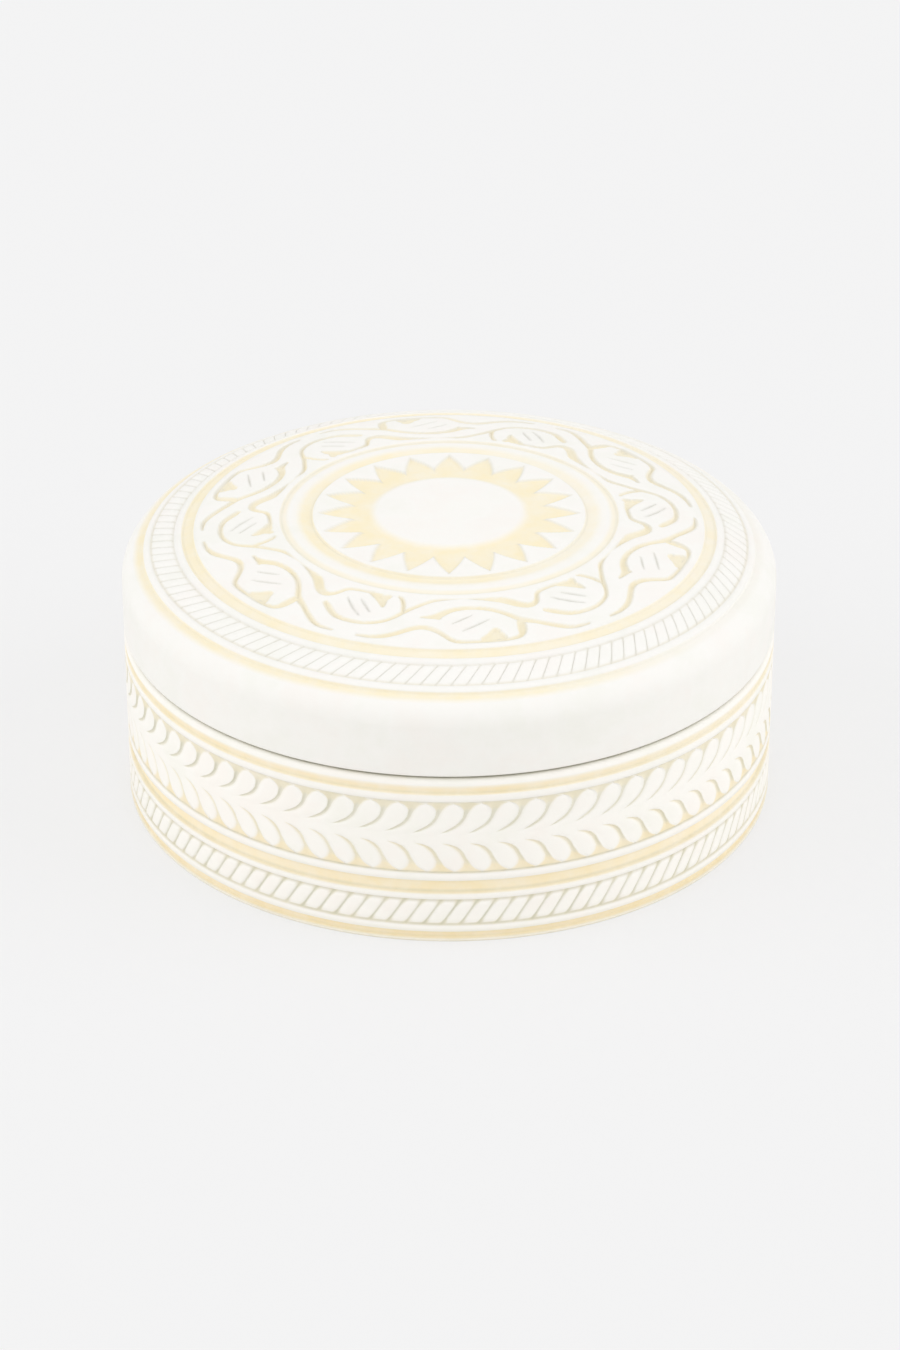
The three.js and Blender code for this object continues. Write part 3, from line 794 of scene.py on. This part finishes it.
def make_base():
    skin = Skin()
    skin.pole(0.0)
    for radius, count in UNDERSIDE_RINGS:
        skin.ring(radius, 0.0, even(count))
    foot = (FOOT_ROUNDING, FOOT_ROUNDING)
    centre = (RADIUS - FOOT_ROUNDING, FOOT_ROUNDING)
    arc(skin, centre, foot, -90, 0, parts=4, wash=FOOT_SHADE_WASH, grime=(FOOT_SHADE, FOOT_SHADE))
    turned(skin, WALL, FOOT_ROUNDING + LEAST_STEP, WALL_ROPE.start - BAND_MARGIN)
    rope_band(skin, WALL, WALL_ROPE, 0, 1)
    turned(skin, WALL, WALL_ROPE.end + BAND_MARGIN, LEAF_BAND[0] - BAND_MARGIN)
    for height in leaf_rows():
        leaf_ring(skin, height)
    lip_start = RIM - LIP_HEIGHT
    turned(skin, WALL, LEAF_BAND[1] + BAND_MARGIN, lip_start)
    centre = (RADIUS - EDGE_ROUNDING, lip_start)
    arc(skin, centre, (EDGE_ROUNDING, LIP_HEIGHT), LIP_START_ANGLE, 90, parts=8, grime=(0.0, LIP_SHADE))
    for share in np.linspace(1, 0, RIM_ROWS)[1:]:
        radius = SPIGOT + (RADIUS - EDGE_ROUNDING - SPIGOT) * share
        # Painted shade on the rim under the lid, darkest at the seam.
        skin.ring(radius, RIM, even(PLAIN_COUNT), 0.0, SEAT_SHADE * share)
    small = (SMALL_ROUNDING, SMALL_ROUNDING)
    arc(skin, (SPIGOT - SMALL_ROUNDING, SPIGOT_TOP - SMALL_ROUNDING), small, 0, 90)
    arc(skin, (BOWL + SMALL_ROUNDING, SPIGOT_TOP - SMALL_ROUNDING), small, 90, 180)
    for height in np.linspace(SPIGOT_TOP - SMALL_ROUNDING, FLOOR + FLOOR_FILLET, BOWL_ROWS)[1:-1]:
        skin.ring(BOWL, height, even(PLAIN_COUNT))
    fillet = (FLOOR_FILLET, FLOOR_FILLET)
    arc(skin, (BOWL - FLOOR_FILLET, FLOOR + FLOOR_FILLET), fillet, 0, -90, parts=8)
    for radius, count in BOWL_RINGS:
        skin.ring(radius, FLOOR, even(count))
    skin.pole(FLOOR)
    return skin.build("carved_base")


def node(tree, kind, **values):
    """A new node. The values are settings of it, or else what its inputs hold."""
    made = tree.nodes.new(kind)
    for name, value in values.items():
        if hasattr(made, name):
            setattr(made, name, value)
        else:
            made.inputs[name.replace("_", " ")].default_value = value
    return made


def noise(tree, place, scale, detail):
    made = node(tree, "ShaderNodeTexNoise", Scale=scale, Detail=detail, Roughness=NOISE_ROUGHNESS)
    tree.links.new(place, made.inputs["Vector"])
    return made.outputs["Fac"]


def spread_over(tree, value, low, high, to_low, to_high):
    """A value between low and high, spread over another span."""
    made = node(tree, "ShaderNodeMapRange", From_Min=low, From_Max=high, To_Min=to_low, To_Max=to_high)
    tree.links.new(value, made.inputs["Value"])
    return made.outputs["Result"]


def product(tree, first, second):
    made = node(tree, "ShaderNodeMath", operation="MULTIPLY")
    tree.links.new(first, made.inputs[0])
    tree.links.new(second, made.inputs[1])
    return made.outputs["Value"]


def covered(tree, before, amount, colour):
    """What was there before, covered with a colour by an amount."""
    made = node(tree, "ShaderNodeMix", data_type="RGBA")
    tree.links.new(amount, made.inputs["Factor"])
    tree.links.new(before, made.inputs["A"])
    made.inputs["B"].default_value = (*colour, 1)
    return made.outputs["Result"]


def mixed_shaders(tree, factor, first, second, output):
    """Leads a mix of two shaders to the output node."""
    made = node(tree, "ShaderNodeMixShader")
    tree.links.new(factor, made.inputs["Fac"])
    tree.links.new(first, made.inputs[1])
    tree.links.new(second, made.inputs[2])
    tree.links.new(made.outputs["Shader"], tree.nodes[output].inputs["Surface"])


def new_material(name):
    material = bpy.data.materials.new(name)
    material.use_nodes = True
    return material, material.node_tree, material.node_tree.nodes["Principled BSDF"]


def stone(name, white, yellow, grey):
    """Pale carved stone: white where it is raised, yellow where it is cut away, with painted shade in grey in
    the narrow lines, and in brown where the painted shade goes above 1."""
    material, tree, shader = new_material(name)
    link = tree.links.new
    place = node(tree, "ShaderNodeTexCoord").outputs["Object"]
    cloud, grain, blotch = (noise(tree, place, *sizes) for sizes in (CLOUD_NOISE, GRAIN_NOISE, BLOTCH_NOISE))

    clouded = node(tree, "ShaderNodeValToRGB")
    clouded.color_ramp.elements.new(0.5)
    for stop, (position, shade) in zip(clouded.color_ramp.elements, CLOUD_SHADES):
        stop.position = position
        stop.color = (*[part * colour for part, colour in zip(shade, white)], 1)
    link(cloud, clouded.inputs["Fac"])

    wash, grime = (
        node(tree, "ShaderNodeAttribute", attribute_name=label).outputs["Fac"] for label in ("wash", "grime")
    )
    uneven = spread_over(tree, blotch, *STAIN_FROM_BLOTCH)
    excess = node(tree, "ShaderNodeMath", operation="SUBTRACT", use_clamp=True)
    excess.inputs[1].default_value = 1.0
    link(grime, excess.inputs[0])
    colour = covered(tree, clouded.outputs["Color"], product(tree, wash, uneven), yellow)
    # Painted shade: grey in the narrow lines and corners, and brown above 1 in the seam between the pieces.
    colour = covered(tree, colour, product(tree, grime, uneven), grey)
    colour = covered(tree, colour, excess.outputs["Value"], SEAM_SHADE_BROWN)
    link(colour, shader.inputs["Base Color"])

    link(spread_over(tree, blotch, *FINISH_FROM_BLOTCH), shader.inputs["Roughness"])
    shader.inputs["IOR"].default_value = STONE_IOR
    shader.inputs["Specular IOR Level"].default_value = STONE_SPECULAR

    bump = node(tree, "ShaderNodeBump", Strength=GRAIN_STRENGTH, Distance=GRAIN_DEPTH * MM)
    link(grain, bump.inputs["Height"])
    link(bump.outputs["Normal"], shader.inputs["Normal"])
    return material


def make_floor():
    mesh = bpy.data.meshes.new("floor")
    corners = [(x * FLOOR_REACH, y * FLOOR_REACH, 0) for x, y in ((-1, -1), (1, -1), (1, 1), (-1, 1))]
    mesh.from_pydata(corners, [], [(0, 1, 2, 3)])
    floor = add("floor", mesh)
    material, tree, shader = new_material("floor")
    shader.inputs["Base Color"].default_value = (*FLOOR_COLOUR, 1)
    shader.inputs["Roughness"].default_value = FLOOR_ROUGHNESS
    shader.inputs["Specular IOR Level"].default_value = 0.0
    glow = node(tree, "ShaderNodeEmission", Color=(*FLOOR_COLOUR, 1))
    share = node(tree, "ShaderNodeMath", operation="MULTIPLY")
    share.inputs[1].default_value = FLOOR_GLOW
    tree.links.new(node(tree, "ShaderNodeLightPath").outputs["Is Camera Ray"], share.inputs[0])
    shaders = (shader.outputs["BSDF"], glow.outputs["Emission"])
    mixed_shaders(tree, share.outputs["Value"], *shaders, "Material Output")
    mesh.materials.append(material)


def make_lights():
    """An even white studio: light from all round, and wide soft lamps from the left, the right and above."""
    world = bpy.data.worlds.new("studio")
    world.use_nodes = True
    tree = world.node_tree
    light = tree.nodes["Background"]
    light.inputs["Color"].default_value = (1, 1, 1, 1)
    light.inputs["Strength"].default_value = STUDIO_LIGHT
    # Seen past the edge of the floor, the studio has the floor's colour.
    backdrop = node(tree, "ShaderNodeBackground", Color=(*FLOOR_COLOUR, 1))
    seen = node(tree, "ShaderNodeLightPath").outputs["Is Camera Ray"]
    shaders = (light.outputs["Background"], backdrop.outputs["Background"])
    mixed_shaders(tree, seen, *shaders, "World Output")
    bpy.context.scene.world = world
    for name, place, strength in LAMPS:
        lamp = bpy.data.lights.new(name, "SUN")
        lamp.angle = math.radians(LAMP_SPREAD)
        lamp.energy = strength * math.pi
        lamp.color = LAMP_COLOUR
        holder = add(name, lamp)
        holder.location = place
        holder.rotation_euler = Vector(place).to_track_quat("Z", "Y").to_euler()


def make_camera():
    angle = math.radians(CAMERA_HEIGHT)
    look = Vector((0.0, math.cos(angle), -math.sin(angle)))
    lens = bpy.data.cameras.new("camera")
    lens.sensor_fit = "VERTICAL"
    lens.sensor_height = CAMERA_SENSOR
    lens.lens = CAMERA_LENS
    camera = add("camera", lens)
    camera.location = (Vector(CAMERA_TARGET) - look * CAMERA_DISTANCE * RADIUS) * MM
    camera.rotation_euler = look.to_track_quat("-Z", "Y").to_euler()
    bpy.context.scene.camera = camera


lid = make_lid()
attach(lid, "lid")
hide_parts("lid")
lid.data.materials.append(stone("lid_stone", *LID_COLOURS))

base = make_base()
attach(base, "base")
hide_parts("base")
base.data.materials.append(stone("base_stone", *BASE_COLOURS))

make_floor()
make_lights()
make_camera()
bpy.context.scene.view_settings.view_transform = "Standard"
